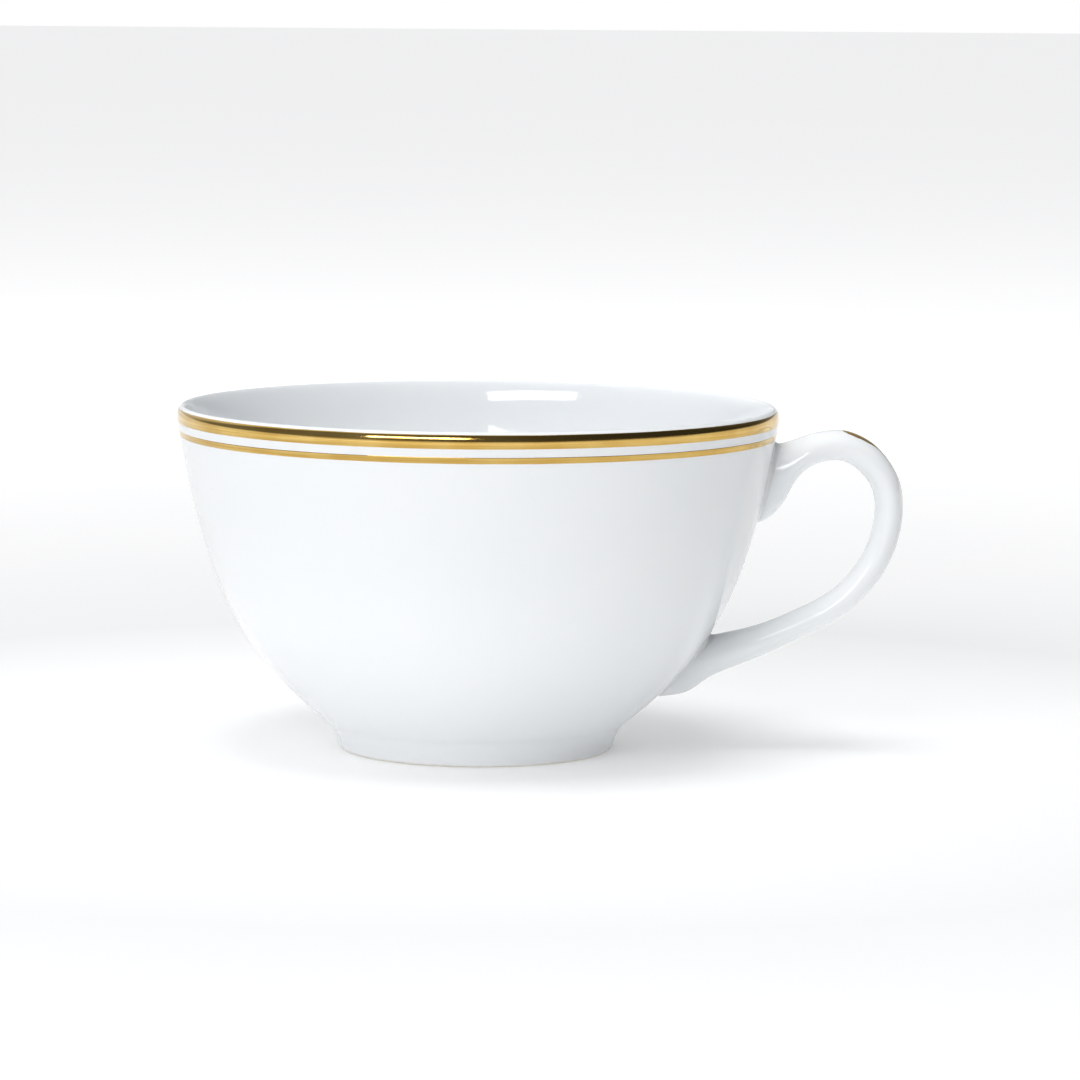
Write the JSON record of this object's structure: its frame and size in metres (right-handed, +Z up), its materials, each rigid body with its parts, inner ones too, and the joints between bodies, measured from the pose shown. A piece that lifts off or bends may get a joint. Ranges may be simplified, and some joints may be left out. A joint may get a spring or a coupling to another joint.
{
  "type": "teacup",
  "caption": "Low, wide bone china teacup with a foot ring and an ear-shaped loop handle, gilded round the rim and down the back of the handle.",
  "frame": {"origin": "centre of the foot ring's standing face, on the cup's axis", "axes": "+Z up along the cup's axis, +X from the axis towards the handle"},
  "size_m": [0.1211, 0.1002, 0.0574],
  "materials": {
    "bowl_china": "cool white bone china under a clear, high-gloss glaze",
    "foot_china": "clear glaze, with bare unglazed china on the narrow face it stands on",
    "handle_china": "cool white bone china under a clear, high-gloss glaze",
    "slip": "fired slip under the same clear glaze",
    "rim_gold": "fired bright gold, burnished round the cup",
    "handle_gold": "fired bright gold laid on in one brush stroke"
  },
  "bodies": {
    "root": {"bowl": "bowl_china", "foot_ring": "foot_china", "handle": "handle_china", "upper_slip_joint": "slip", "lower_slip_joint": "slip", "rim_band": "rim_gold", "line_band": "rim_gold", "handle_gilding": "handle_gold"}
  },
  "joints": []
}
